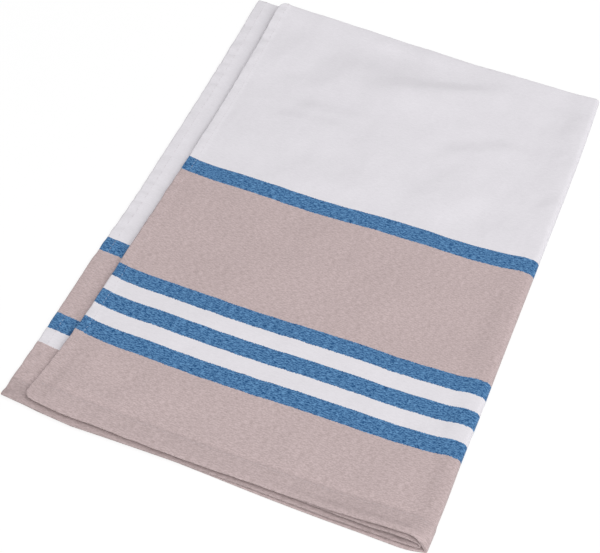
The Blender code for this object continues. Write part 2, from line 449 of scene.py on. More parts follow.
@dataclass
class QuarterFold:
    """How the flat towel lies folded in quarters.

    Each of pucker_drifts has a height, a length and a pace; a pace, here and in
    pucker_swing_pace, is how many times over the pair's own phase is taken.
    """

    sheet_thickness: float = 0.55
    side_hem_thickness: float = 1.05
    end_hem_thickness: float = 1.40
    hem_step: float = 3.2
    floor_gap: float = 0.25
    side_rim_radius: float = 1.0
    end_rim_radius: float = 0.45
    top_corner_radius: float = 4.4
    other_corner_radius: float = 0.8
    upper_fold_corner_radius: float = 6.2
    lower_fold_corner_radius: float = 1.6
    sheet_gap: float = 1.07
    side_pair_gap: float = 0.30
    side_middle_gap: float = 1.20
    end_ride_start: float = 1.5
    end_ride_length: float = 7.0
    end_sag_depth: float = 1.7
    end_sag_start: float = 3.0
    end_sag_length: float = 11.0
    end_sag_rim_share: float = 0.30
    end_sag_rim_length: float = 3.0
    end_sag_seam_share: float = 0.35
    end_sag_seam_length: float = 3.6
    end_sag_near_return: float = 2.4
    end_sag_far_return: float = 32.0
    end_sag_far_share: float = 0.65
    side_ride_start: float = 1.0
    side_ride_length: float = 6.0
    side_groove_depth: float = 0.15
    side_groove_place: float = 7.8
    groove_width: float = 2.8
    half_fold_length: float = 6.0
    covered_edge_setback: float = 0.8
    near_end_y: float = -177.0
    crease_share_below: float = 0.6
    crease_fade_length: float = 0.45
    crease_fade_lead: float = 0.4
    crease_lean_reach: float = 2.0
    pucker_pitch: float = 11.4
    pucker_phase: float = 1.0
    pucker_phase_step: float = 1.7
    pucker_drifts: tuple = ((0.34, 17.0, 1.0), (0.12, 6.7, 2.0))
    pucker_overtone: float = 0.4
    pucker_overtone_phase: float = 0.9
    pucker_swing: float = 0.3
    pucker_swing_length: float = 23.0
    pucker_swing_pace: float = 3.0
    pucker_height: float = 0.50
    pucker_middle: float = 3.0
    pucker_reach: float = 3.7
    covered_pucker_height: float = 0.74
    covered_pucker_middle: float = 3.8
    covered_pucker_reach: float = 4.2
    edge_wander: float = 0.14
    edge_wander_length: float = 13.0
    edge_wander_up: float = 40.0
    edge_wander_out: float = 9.0
    side_wander_seed: int = 15
    end_wander_seed: int = 16
    least_inner_gap: float = 0.05
    true_weave_share: float = 0.35

    def station(self, distance: np.ndarray, leg: float) -> tuple[np.ndarray, np.ndarray]:
        """Place on a hairpin: run is 1 at a hem and 0 at the fold, turn goes from 0 to pi.

        Args:
            distance: From the first edge over the fold to the other edge.
            leg: Distance from an edge to the middle of the fold.

        Returns:
            The run and the turn.
        """
        past_fold = distance - leg
        turn = np.clip((past_fold / self.half_fold_length + 1.0) / 2.0, 0.0, 1.0) * math.pi
        run = np.abs(past_fold) - self.half_fold_length
        return np.clip(run / (leg - self.half_fold_length), 0.0, 1.0), turn

    def hem_share(self, from_edge: np.ndarray, hem: float) -> np.ndarray:
        """1 within a hem's width of an edge, easing to 0 over a step that is centred there."""
        return 1.0 - smooth_step((from_edge - hem) / self.hem_step + 0.5)

    def hemmed(self, side_share: np.ndarray, end_share: np.ndarray) -> np.ndarray:
        """Thickness of the cloth where it has some share of a side hem and an end hem."""
        return np.maximum(mix(self.sheet_thickness, self.side_hem_thickness, side_share),
                          mix(self.sheet_thickness, self.end_hem_thickness, end_share))

    def thickness(self, from_side: np.ndarray, from_end: np.ndarray) -> np.ndarray:
        """Sheet or hem, rounded off to nothing at the very edge.

        Args:
            from_side: Distance from the nearest side edge.
            from_end: Distance from the nearest end.

        Returns:
            The thickness.
        """
        full = self.hemmed(self.hem_share(from_side, SIDE_HEM_WIDTH),
                           self.hem_share(from_end, END_HEM_DEPTH))
        inward = np.minimum(from_side / self.side_rim_radius, from_end / self.end_rim_radius)
        inward = np.clip(inward, 0.0, 1.0)
        return full * np.sqrt(1 - (1 - inward) ** 2)

    def puffed(self, x: np.ndarray, y: np.ndarray, column: str) -> np.ndarray:
        """Sum of one column of the puffs at places in plan.

        Args:
            x: Places in plan.
            y: Places in plan.
            column: Name of the column.

        Returns:
            The sum at each place.
        """
        total = np.zeros(np.broadcast(x, y).shape)
        for row in PUFFS:
            distance = ((x - row.x) / row.reach_x) ** 2 + ((y - row.y) / row.reach_y) ** 2
            total += getattr(row, column) * np.exp(-distance)
        return total

    def creased(self, x: np.ndarray, y: np.ndarray) -> np.ndarray:
        """Height that the creases add to the top layer at places in plan.

        Args:
            x: Places in plan.
            y: Places in plan.

        Returns:
            The added height at each place.
        """
        total = np.zeros(np.broadcast(x, y).shape)
        for row in CREASES:
            length = math.hypot(row.end_x - row.start_x, row.end_y - row.start_y)
            ahead_x = (row.end_x - row.start_x) / length
            ahead_y = (row.end_y - row.start_y) / length
            along = ((x - row.start_x) * ahead_x + (y - row.start_y) * ahead_y) / length
            right = (x - row.start_x) * ahead_y - (y - row.start_y) * ahead_x
            narrowed = mix(1.0, row.taper, np.clip(along, 0.0, 1.0))
            # The line bows as a parabola that is 1 at its middle.
            right = (right - row.bow * 4.0 * along * (1.0 - along)) / (row.width * narrowed)
            right = right / (1.0 + row.lean * smooth_step(-right / self.crease_lean_reach))
            fade = self.crease_fade(along) * self.crease_fade(1.0 - along)
            height = (row.ridge + row.step * right) / (1.0 + right ** 2) ** 1.5
            total += fade * narrowed * height
        return total

    def crease_fade(self, from_tip: np.ndarray) -> np.ndarray:
        """1 along a crease, easing to 0 past its tip; both in shares of its length."""
        return smooth_step(from_tip / self.crease_fade_length + self.crease_fade_lead)

    def crumpled(self, x: np.ndarray, y: np.ndarray) -> np.ndarray:
        """Slight crumple of cloth that was ironed once and folded by hand."""
        return sum(row.height * unevenness(x, y, row.length, row.seed) for row in CRUMPLES)

    def puckered(self, along: np.ndarray, from_edge: np.ndarray, up: np.ndarray) -> np.ndarray:
        """Drawn-in ripples that the stitching leaves beside a side hem.

        Args:
            along: Place along the hem.
            from_edge: Distance from the open side.
            up: 1 on the upper pair of layers, 0 on the lower pair.

        Returns:
            Height of the ripples, as a share of their full height.
        """
        phase = self.pucker_phase + self.pucker_phase_step * up
        drift = sum(height * np.sin(along / length + pace * phase)
                    for height, length, pace in self.pucker_drifts)
        turn = 2.0 * math.pi * (along / self.pucker_pitch + drift)
        overtone = np.sin(2.0 * turn + self.pucker_overtone_phase)
        ripple = np.sin(turn) + self.pucker_overtone * overtone
        swing = np.sin(along / self.pucker_swing_length + self.pucker_swing_pace * phase)
        strength = 1.0 - self.pucker_swing + self.pucker_swing * swing
        middle = mix(self.covered_pucker_middle, self.pucker_middle, up)
        reach = mix(self.covered_pucker_reach, self.pucker_reach, up)
        return strength * ripple * np.exp(-((from_edge - middle) / reach) ** 2)

    def hem_ride(self, from_edge: np.ndarray, start: float, length: float) -> np.ndarray:
        """1 on the thick rim of a hem, easing to 0 behind it."""
        return 1.0 - smooth_step((from_edge - start) / length)

    def sagged(self, from_side: np.ndarray, from_end: np.ndarray) -> np.ndarray:
        """Depth to which the cloth sags between the thick hems.

        Args:
            from_side: Distance from the open side.
            from_end: Distance from the hemmed end.

        Returns:
            The depth.
        """
        side = (from_side - self.side_groove_place) / self.groove_width
        side_reach = smooth_step(from_end / self.side_groove_place)
        past_rim = from_end - self.end_sag_start
        inward = past_rim - self.end_sag_length
        even_share = 1.0 - self.end_sag_rim_share - self.end_sag_seam_share
        down = (even_share * smooth_step(past_rim / self.end_sag_length)
                + self.end_sag_rim_share * smooth_step(past_rim / self.end_sag_rim_length)
                + self.end_sag_seam_share * smooth_step(inward / self.end_sag_seam_length + 1.0))
        back = mix(smooth_step(inward / self.end_sag_near_return),
                   smooth_step(inward / self.end_sag_far_return), self.end_sag_far_share)
        return (self.side_groove_depth * side_reach * np.exp(-side ** 2)
                + self.end_sag_depth * down * (1.0 - back))

    def round_corner(
        self, from_side: np.ndarray, from_end: np.ndarray, radius: np.ndarray
    ) -> tuple[np.ndarray, np.ndarray]:
        """Draws a square corner of the cloth in to a rounded one.

        Args:
            from_side: Distance from the nearest side edge.
            from_end: Distance from the nearest end.
            radius: The corner's radius.

        Returns:
            The two distances of the same points with the corner rounded.
        """
        out_side = np.maximum(1.0 - from_side / radius, 0.0)
        out_end = np.maximum(1.0 - from_end / radius, 0.0)
        reach = np.hypot(out_side, out_end)
        inward = np.where(reach > 0, np.maximum(out_side, out_end) / np.maximum(reach, 1e-9), 1.0)
        both = (out_side > 0) & (out_end > 0)
        drawn_side = radius * (1.0 - out_side * inward)
        drawn_end = radius * (1.0 - out_end * inward)
        return np.where(both, drawn_side, from_side), np.where(both, drawn_end, from_end)

    def layer_heights(
        self,
        x: np.ndarray,
        y: np.ndarray,
        from_lower_side: np.ndarray,
        from_upper_side: np.ndarray,
        from_end: np.ndarray,
    ) -> tuple[np.ndarray, np.ndarray, np.ndarray, np.ndarray]:
        """Mid-heights of the four layers at places in plan.

        Args:
            x: Places in plan.
            y: Places in plan.
            from_lower_side: Distance from the lower pair's open side.
            from_upper_side: Distance from the upper pair's open side.
            from_end: Distance from the hemmed ends.

        Returns:
            Heights of the bottom, third, second and top layer.
        """
        at_end = self.hem_ride(from_end, self.end_ride_start, self.end_ride_length)
        at_lower = self.hem_ride(from_lower_side, self.side_ride_start, self.side_ride_length)
        at_upper = self.hem_ride(from_upper_side, self.side_ride_start, self.side_ride_length)
        lower = self.hemmed(at_lower, at_end)
        upper = self.hemmed(at_upper, at_end)
        parting = self.sheet_gap + self.puffed(x, y, "parting")
        puff = self.puffed(x, y, "rise")
        rise = self.sheet_gap + puff
        lower_gap = mix(mix(parting, self.side_pair_gap, at_lower),
                        curve_through(x, HEM_STACK, "bottom_gap"), at_end)
        middle_gap = mix(mix(rise, self.side_middle_gap + puff, at_upper),
                         curve_through(x, HEM_STACK, "middle_gap"), at_end)
        upper_gap = mix(mix(parting, self.side_pair_gap, at_upper),
                        curve_through(x, HEM_STACK, "top_gap"), at_end)
        bottom = self.floor_gap + self.hemmed(self.hem_share(from_lower_side, SIDE_HEM_WIDTH),
                                              self.hem_share(from_end, END_HEM_DEPTH)) / 2
        # Under the third layer's middle lie the whole bottom layer and half of its own cloth.
        third = self.floor_gap + lower * 1.5 + lower_gap
        second = third + lower / 2 + middle_gap + upper / 2
        top = second + upper + upper_gap
        moved = self.creased(x, y) + self.crumpled(x, y)
        moved = moved - self.sagged(from_upper_side, from_end)
        return bottom, third, second + self.crease_share_below * moved, top + moved

    def folded(self, across: np.ndarray, along: np.ndarray) -> ClothPoint:
        """Mid-surface of the folded cloth, in millimetres, before it is put on the frame.

        Args:
            across: Distance on the flat cloth from the top layer's open side.
            along: Distance on the flat cloth from the outer sheet's hemmed end.

        Returns:
            The points and where they are on the flat cloth.
        """
        across, along = np.broadcast_arrays(across, along)
        leg_across, leg_along = TOWEL_WIDTH / 2, TOWEL_LENGTH / 2
        from_side, from_end = from_edges(across, along)
        on_top = (across < leg_across) & (along < leg_along)
        radius = np.where(on_top, self.top_corner_radius, self.other_corner_radius)
        drawn_side, drawn_end = self.round_corner(from_side, from_end, radius)
        across = across + np.sign(leg_across - across) * (drawn_side - from_side)
        along = along + np.sign(leg_along - along) * (drawn_end - from_end)
        run_across, turn_across = self.station(across, leg_across)
        run_along, turn_along = self.station(along, leg_along)
        up = (1.0 + np.cos(turn_across)) / 2
        out = (1.0 + np.cos(turn_along)) / 2

        # Nominal place in plan, good enough to read the tables with.
        far_y = curve_through(np.zeros(1), CROSSWISE_FOLDS, "upper_pair_y")[0]
        nominal_y = mix(far_y, self.near_end_y, run_along)
        outermost_x = curve_through(nominal_y, LENGTHWISE_FOLD, "outermost_x")
        lower_side = curve_through(nominal_y, OPEN_SIDES, "lower_pair_x")
        upper_side = curve_through(nominal_y, OPEN_SIDES, "upper_pair_x")
        side = mix(lower_side, upper_side, up)
        layer = self.edge_wander_up * up + self.edge_wander_out * out
        side = side + self.edge_wander * unevenness(
            nominal_y, layer, self.edge_wander_length, self.side_wander_seed)
        nose = curve_through(nominal_y, LENGTHWISE_FOLD, "nose_length")
        outer_fold_x = outermost_x - nose - self.sheet_thickness / 2
        inner_fold_x = outermost_x - curve_through(nominal_y, LENGTHWISE_FOLD, "sheet_pitch")
        nominal_x = mix(mix(inner_fold_x, outer_fold_x, out), side, run_across)

        # Heights of the four layers.
        from_lower_side = nominal_x - lower_side
        from_upper_side = nominal_x - upper_side
        bottom, third, second, top = self.layer_heights(
            nominal_x, nominal_y, from_lower_side, from_upper_side,
            (1.0 - run_along) * leg_along)

        # Across the pile, each sheet's place on its own way round the lengthwise fold.
        outer_side = side + self.covered_edge_setback * (1.0 - up)
        inner_side = side + self.covered_edge_setback * up
        thinnest = self.hemmed(0.0, self.hem_share((1.0 - run_along) * leg_along, END_HEM_DEPTH))
        inner_radius = np.maximum(second - third, thinnest + self.least_inner_gap) / 2
        outer_x = mix(outer_fold_x, outer_side, run_across) + nose * np.sin(turn_across)
        inner_x = mix(inner_fold_x, inner_side, run_across) + inner_radius * np.sin(turn_across)
        droop = curve_through(nominal_y, LENGTHWISE_FOLD, "droop")
        outer_z = bottom + (top - bottom) * up ** droop
        inner_z = (second + third) / 2 + inner_radius * np.cos(turn_across)

        # Along the pile, each pair's place on its way round the crosswise fold.
        bend_radius = np.hypot(outer_x - inner_x, outer_z - inner_z) / 2
        x = mix(inner_x, outer_x, out)
        z = mix(inner_z, outer_z, out)
        fold_y = curve_between(x, CROSSWISE_FOLDS, ("lower_pair_y", "upper_pair_y"), up)
        corner = mix(self.lower_fold_corner_radius, self.upper_fold_corner_radius, up)
        past_corner = np.clip(drawn_side / corner, 0.0, 1.0)
        fold_y = fold_y - corner * (1.0 - np.sqrt(1 - (1 - past_corner) ** 2))
        outer_end = curve_between(x, HEMMED_ENDS, ("bottom_layer_y", "top_layer_y"), up)
        inner_end = curve_between(x, HEMMED_ENDS, ("third_layer_y", "second_layer_y"), up)
        end_y = mix(inner_end, outer_end, out)
        end_y = end_y + self.edge_wander * unevenness(
            x, layer, self.edge_wander_length, self.end_wander_seed)
        straight_y = fold_y - bend_radius - self.sheet_thickness / 2
        y = mix(straight_y, end_y, run_along) + bend_radius * np.sin(turn_along)

        # Ripples beside the side hems, then the point's place on the flat cloth.
        leg_x = mix(inner_fold_x - inner_side, outer_fold_x - outer_side, out)
        height = mix(mix(self.covered_pucker_height, self.pucker_height, up),
                     self.pucker_height * up, out)
        z = z + height * self.puckered(y, (1.0 - run_across) * leg_x, up)
        flat_across = self.flat_distance(across, run_across, leg_x, leg_across)
        flat_along = self.flat_distance(along, run_along, straight_y - end_y, leg_along)
        flat_along = flat_along + np.sign(leg_along - along) * curve_through(x, WEFT_SLIP, "slip")
        return ClothPoint(np.stack([x, y, z], axis=-1), flat_across, flat_along)

    def flat_distance(
        self, distance: np.ndarray, run: np.ndarray, straight: np.ndarray, leg: float
    ) -> np.ndarray:
        """Distance on the flat cloth: true from the hem, evened out towards the fold.

        Args:
            distance: Nominal distance from the first edge over the fold.
            run: 1 at a hem, 0 at the fold.
            straight: True length from the hem to where the fold begins.
            leg: Distance from an edge to the middle of the fold.

        Returns:
            The distance from the first edge that the weave is drawn with.
        """
        true_distance = (1.0 - run) * straight
        true_distance = np.where(distance <= leg, true_distance, 2.0 * leg - true_distance)
        return mix(distance, true_distance, smooth_step(run / self.true_weave_share))


def srgb(red: float, green: float, blue: float) -> tuple[float, float, float, float]:
    """Linear colour with full alpha of an 8-bit screen colour.

    Args:
        red: Red, 0 to 255.
        green: Green, 0 to 255.
        blue: Blue, 0 to 255.

    Returns:
        The colour.
    """
    def linear(value: float) -> float:
        """One channel, by the sRGB curve."""
        value /= 255.0
        return value / 12.92 if value <= 0.04045 else ((value + 0.055) / 1.055) ** 2.4
    return linear(red), linear(green), linear(blue), 1.0


def make_piece(
    name: str,
    vertices: list,
    faces: list,
    material: bpy.types.Material,
    uv_map: str = "",
    uvs: np.ndarray | None = None,
) -> bpy.types.Object:
    """Builds a piece and puts it in the scene, smooth if it has a UV map.

    Args:
        name: Name of the piece.
        vertices: Vertices in metres.
        faces: Faces.
        material: The finish.
        uv_map: Name of the UV map, if it has one.
        uvs: UV of each vertex.

    Returns:
        The piece.
    """
    mesh = bpy.data.meshes.new(name)
    mesh.from_pydata(vertices, [], faces)
    if uv_map:
        corners = np.empty(len(mesh.loops), dtype=np.int64)
        mesh.loops.foreach_get("vertex_index", corners)
        mesh.uv_layers.new(name=uv_map).data.foreach_set("uv", uvs[corners].ravel())
        mesh.shade_smooth()
    mesh.materials.append(material)
    piece = bpy.data.objects.new(name, mesh)
    bpy.context.scene.collection.objects.link(piece)
    return piece


class Grain(NamedTuple):
    """Noise in a finish: its grains' size in millimetres, its weight and its detail."""

    across: float
    along: float
    weight: float
    detail: float = 1.0


class FinishNodes:
    """Node tree of one finish, with a short call for each kind of node that it uses."""

    def __init__(self, name: str) -> None:
        """Makes the material with its Principled shader.

        Args:
            name: Name of the finish.
        """
        self.material = bpy.data.materials.new(name)
        self.material.use_nodes = True
        self.tree = self.material.node_tree
        self.shader = self.tree.nodes["Principled BSDF"]

    def put(self, socket: bpy.types.NodeSocket, value: object) -> None:
        """Links a socket or sets its value.

        Args:
            socket: The socket to feed.
            value: A socket, a colour or a number.
        """
        if isinstance(value, bpy.types.NodeSocket):
            self.tree.links.new(value, socket)
        elif isinstance(value, tuple):
            socket.default_value = value[:len(socket.default_value)]
        else:
            socket.default_value = value

    def math(self, operation: str, *values: object) -> bpy.types.NodeSocket:
        """Result of a Math node.

        Args:
            operation: Blender's name of the operation.
            *values: Sockets or numbers, in the node's order.

        Returns:
            The result.
        """
        node = self.tree.nodes.new("ShaderNodeMath")
        node.operation = operation
        for socket, value in zip(node.inputs, values):
            self.put(socket, value)
        return node.outputs[0]

    def cloth_place(self, uv_map: str) -> tuple[bpy.types.NodeSocket, bpy.types.NodeSocket]:
        """Millimetres across and along the flat piece, from a UV map in metres.

        Args:
            uv_map: Name of the UV map.

        Returns:
            The two distances.
        """
        node = self.tree.nodes.new("ShaderNodeUVMap")
        node.uv_map = uv_map
        parts = self.tree.nodes.new("ShaderNodeSeparateXYZ")
        self.put(parts.inputs[0], node.outputs[0])
        return (self.math("MULTIPLY", parts.outputs[0], 1.0 / METRES),
                self.math("MULTIPLY", parts.outputs[1], 1.0 / METRES))

    def noise(self, across: object, along: object, grain: Grain) -> bpy.types.NodeSocket:
        """Noise of about 0.5 with the given grain, whose weight is left to the caller.

        Args:
            across: Millimetres across.
            along: Millimetres along.
            grain: The grain.

        Returns:
            The noise.
        """
        place = self.tree.nodes.new("ShaderNodeCombineXYZ")
        self.put(place.inputs[0], self.math("DIVIDE", across, grain.across))
        self.put(place.inputs[1], self.math("DIVIDE", along, grain.along))
        node = self.tree.nodes.new("ShaderNodeTexNoise")
        node.noise_dimensions = "2D"
        self.put(node.inputs["Vector"], place.outputs[0])
        node.inputs["Scale"].default_value = 1.0
        node.inputs["Detail"].default_value = grain.detail
        return node.outputs[0]

    def colour(self, share: object, start: object, end: object) -> bpy.types.NodeSocket:
        """Mix of two colours.

        Args:
            share: How much of the second colour is taken.
            start: First colour.
            end: Second colour.

        Returns:
            The mixed colour.
        """
        node = self.tree.nodes.new("ShaderNodeMix")
        node.data_type = "RGBA"
        # The colour sockets share their names with the number sockets, so they go by place.
        self.put(node.inputs["Factor"], share)
        self.put(node.inputs[6], start)
        self.put(node.inputs[7], end)
        return node.outputs[2]

    def brightened(self, colour: object, factor: object) -> bpy.types.NodeSocket:
        """Colour times a factor.

        Args:
            colour: The colour.
            factor: The factor.

        Returns:
            The colour, brighter or darker.
        """
        node = self.tree.nodes.new("ShaderNodeVectorMath")
        node.operation = "SCALE"
        self.put(node.inputs[0], colour)
        self.put(node.inputs["Scale"], factor)
        return node.outputs[0]

    def ramp(self, value: object, low: float, high: float) -> bpy.types.NodeSocket:
        """Smooth 0 to 1 between two values.

        Args:
            value: What is eased.
            low: Value at which the result is 0.
            high: Value at which the result is 1.

        Returns:
            The eased value.
        """
        node = self.tree.nodes.new("ShaderNodeMapRange")
        node.interpolation_type = "SMOOTHSTEP"
        self.put(node.inputs["Value"], value)
        node.inputs["From Min"].default_value = low
        node.inputs["From Max"].default_value = high
        return node.outputs[0]

    def bump(self, height: object) -> None:
        """Bump from a height in millimetres.

        Args:
            height: The height.
        """
        node = self.tree.nodes.new("ShaderNodeBump")
        node.inputs["Strength"].default_value = 1.0
        node.inputs["Distance"].default_value = METRES
        self.put(node.inputs["Height"], height)
        self.put(self.shader.inputs["Normal"], node.outputs[0])


@dataclass(frozen=True)
class StripedCotton:
    """Plain-woven cotton: an off-white warp crossed by white, beige and blue weft.

    weft is each yarn's own colour, and fleck its colour where the warp shows over it.
    """

    weft: dict = field(default_factory=lambda: {
        Yarn.WHITE: srgb(218, 215, 220),
        Yarn.BEIGE: srgb(174, 157, 156),
        Yarn.BLUE: srgb(12, 69, 118),
    })
    fleck: dict = field(default_factory=lambda: {
        Yarn.WHITE: srgb(223, 220, 225),
        Yarn.BEIGE: srgb(198, 180, 180),
        Yarn.BLUE: srgb(99, 146, 190),
    })
    warp_pitch: float = 0.55
    weft_pitch: float = 0.60
    stripe_edge: Grain = Grain(0.7, 3.0, 1.0)
    long_fleck: Grain = Grain(3.2, 0.55, 0.55)
    short_fleck: Grain = Grain(1.2, 0.45, 0.45)
    dye_drift: Grain = Grain(26.0, 19.0, 0.05, 2.0)
    single_threads: Grain = Grain(9.0, 0.75, 0.06, 2.0)
    crumple: Grain = Grain(9.0, 9.0, 0.24)
    crossing_share: float = 0.05
    warp_shows_from: float = 0.33
    warp_shows_to: float = 0.67
    # Painted shade: factor that darkens the inner sheet's end hem, standing in for the shade under
    # the upper layers at the near edge.
    inner_hem_painted_shade: float = 0.87
    inner_hem_blur: float = 1.0
    roughness: float = 0.9
    roughness_swing: float = 0.08
    specular: float = 0.25
    sheen: float = 0.10
    sheen_roughness: float = 0.5
    crossing_relief: float = 0.012
    fleck_relief: float = 0.02
    thread_relief: float = 0.03

    def stripe_mask(
        self, nodes: FinishNodes, along: bpy.types.NodeSocket, yarn: Yarn
    ) -> bpy.types.NodeSocket:
        """1 where the weft is one yarn.

        Args:
            nodes: The finish's nodes.
            along: Millimetres from the outer sheet's hemmed end.
            yarn: The yarn to mask.

        Returns:
            The mask.
        """
        bands = [(row.start, row.end) for row in OUTER_END_STRIPES if row.yarn is yarn]
        bands += [(TOWEL_LENGTH - row.end, TOWEL_LENGTH - row.start)
                  for row in INNER_END_STRIPES if row.yarn is yarn]
        mask = 0.0
        for start, end in bands:
            band = nodes.math("COMPARE", along, (start + end) / 2, (end - start) / 2)
            mask = nodes.math("ADD", mask, band)
        return mask

    def striped(
        self, nodes: FinishNodes, beige: object, blue: object, yarns: dict
    ) -> bpy.types.NodeSocket:
        """Colours of the yarns in their stripes, from the masks of the beige and the blue."""
        ground = nodes.colour(beige, yarns[Yarn.WHITE], yarns[Yarn.BEIGE])
        return nodes.colour(blue, ground, yarns[Yarn.BLUE])

    def material(self) -> bpy.types.Material:
        """Builds the finish.

        Returns:
            The material.
        """
        nodes = FinishNodes("striped_cotton")
        across, along = nodes.cloth_place("cloth")

        # Weft stripes, their edges ragged by a thread here and there.
        ragged = nodes.math("SUBTRACT", nodes.noise(across, along, self.stripe_edge), 0.5)
        striped = nodes.math("MULTIPLY_ADD", ragged, self.stripe_edge.weight, along)
        beige = self.stripe_mask(nodes, striped, Yarn.BEIGE)
        blue = self.stripe_mask(nodes, striped, Yarn.BLUE)
        weft = self.striped(nodes, beige, blue, self.weft)
        warp = self.striped(nodes, beige, blue, self.fleck)

        # Over-and-under of the threads, with uneven yarn that lets the warp through in flecks.
        warp_wave = nodes.math("SINE", nodes.math("MULTIPLY", across, math.pi / self.warp_pitch))
        weft_wave = nodes.math("SINE", nodes.math("MULTIPLY", along, math.pi / self.weft_pitch))
        crossing = nodes.math("MULTIPLY", warp_wave, weft_wave)
        long_fleck = nodes.noise(across, along, self.long_fleck)
        short_fleck = nodes.noise(across, along, self.short_fleck)
        fleck = nodes.math("MULTIPLY_ADD", short_fleck, self.short_fleck.weight,
                           nodes.math("MULTIPLY", long_fleck, self.long_fleck.weight))
        warp_on_top = nodes.math("MULTIPLY_ADD", crossing, self.crossing_share, fleck)
        warp_shows = nodes.ramp(warp_on_top, self.warp_shows_from, self.warp_shows_to)
        woven = nodes.colour(warp_shows, weft, warp)

        # Slow colour drift of the dye, and single weft threads a shade lighter or darker.
        drift = nodes.math("SUBTRACT", nodes.noise(across, along, self.dye_drift), 0.5)
        thread = nodes.math("SUBTRACT", nodes.noise(across, along, self.single_threads), 0.5)
        shade = nodes.math("MULTIPLY_ADD", drift, self.dye_drift.weight, 1.0)
        shade = nodes.math("MULTIPLY_ADD", thread, self.single_threads.weight, shade)
        # Painted shade: the inner sheet's end hem is drawn darker for the shade that the upper
        # layers cast on it at the near edge.
        hem_start = TOWEL_LENGTH - END_HEM_DEPTH
        inner_hem = nodes.ramp(along, hem_start - self.inner_hem_blur,
                               hem_start + self.inner_hem_blur)
        darker = nodes.math("MULTIPLY_ADD", inner_hem, self.inner_hem_painted_shade - 1.0, 1.0)
        shade = nodes.math("MULTIPLY", shade, darker)
        nodes.put(nodes.shader.inputs["Base Color"], nodes.brightened(woven, shade))

        nodes.put(nodes.shader.inputs["Roughness"],
                  nodes.math("MULTIPLY_ADD", fleck, self.roughness_swing,
                             self.roughness - self.roughness_swing / 2))
        nodes.shader.inputs["Specular IOR Level"].default_value = self.specular
        nodes.shader.inputs["Sheen Weight"].default_value = self.sheen
        nodes.shader.inputs["Sheen Roughness"].default_value = self.sheen_roughness

        crumple = nodes.noise(across, along, self.crumple)
        height = nodes.math("MULTIPLY", crumple, self.crumple.weight)
        for relief, share in ((crossing, self.crossing_relief), (fleck, self.fleck_relief),
                              (thread, self.thread_relief)):
            height = nodes.math("MULTIPLY_ADD", relief, share, height)
        nodes.bump(height)
        return nodes.material


@dataclass(frozen=True)
class SewingThread:
    """Off-white twisted cotton thread."""

    thread: tuple = srgb(204, 196, 199)
    twist_pitch: float = 0.5
    uneven: Grain = Grain(1.0, 2.0, 0.12)
    shade: float = 0.90
    # Painted shade: how much lighter each ply's crown and darker the groove between plies are
    # drawn along the twist.
    ply_painted_shade: float = 0.06
    ply_relief: float = 0.03
    roughness: float = 0.72
    roughness_swing: float = 0.1
    sheen: float = 0.1

    def material(self) -> bpy.types.Material:
        """Builds the finish.

        Returns:
            The material.
        """
        nodes = FinishNodes("sewing_thread")
        around, along = nodes.cloth_place("thread")
        turned = nodes.math("MULTIPLY_ADD", along, 1.0 / self.twist_pitch, around)
        ply = nodes.math("SINE", nodes.math("MULTIPLY", turned, 2.0 * math.pi))
        uneven = nodes.noise(around, along, self.uneven)
        # Painted shade: the thread is drawn lighter and darker along its twist, as light and shade
        # fall on the round plies.
        shade = nodes.math("MULTIPLY_ADD", ply, self.ply_painted_shade, self.shade)
        shade = nodes.math("MULTIPLY_ADD", uneven, self.uneven.weight, shade)
        nodes.put(nodes.shader.inputs["Base Color"], nodes.brightened(self.thread, shade))
        nodes.put(nodes.shader.inputs["Roughness"],
                  nodes.math("MULTIPLY_ADD", uneven, self.roughness_swing, self.roughness))
        nodes.shader.inputs["Sheen Weight"].default_value = self.sheen
        nodes.bump(nodes.math("MULTIPLY", ply, self.ply_relief))
        return nodes.material


@dataclass(frozen=True)
class PaleFloor:
    """Matt studio paper: grey, with a glow of its own that brings it up to white."""

    paper: tuple = (0.20, 0.20, 0.20, 1.0)
    light: tuple = (1.0, 1.0, 1.0, 1.0)
    glow: float = 0.80
    grain: Grain = Grain(0.4, 0.4, 0.01)
    roughness: float = 0.95
    specular: float = 0.1

    def material(self) -> bpy.types.Material:
        """Builds the finish.

        Returns:
            The material.
        """
        nodes = FinishNodes("studio_paper")
        place = nodes.tree.nodes.new("ShaderNodeTexCoord")
        parts = nodes.tree.nodes.new("ShaderNodeSeparateXYZ")
        nodes.put(parts.inputs[0], place.outputs["Object"])
        grain = nodes.noise(parts.outputs[0], parts.outputs[1], self.grain)
        shade = nodes.math("MULTIPLY_ADD", grain, self.grain.weight,
                           1.0 - self.grain.weight / 2)
        nodes.put(nodes.shader.inputs["Base Color"], nodes.brightened(self.paper, shade))
        nodes.shader.inputs["Roughness"].default_value = self.roughness
        nodes.shader.inputs["Specular IOR Level"].default_value = self.specular
        nodes.shader.inputs["Emission Color"].default_value = self.light
        nodes.shader.inputs["Emission Strength"].default_value = self.glow
        return nodes.material


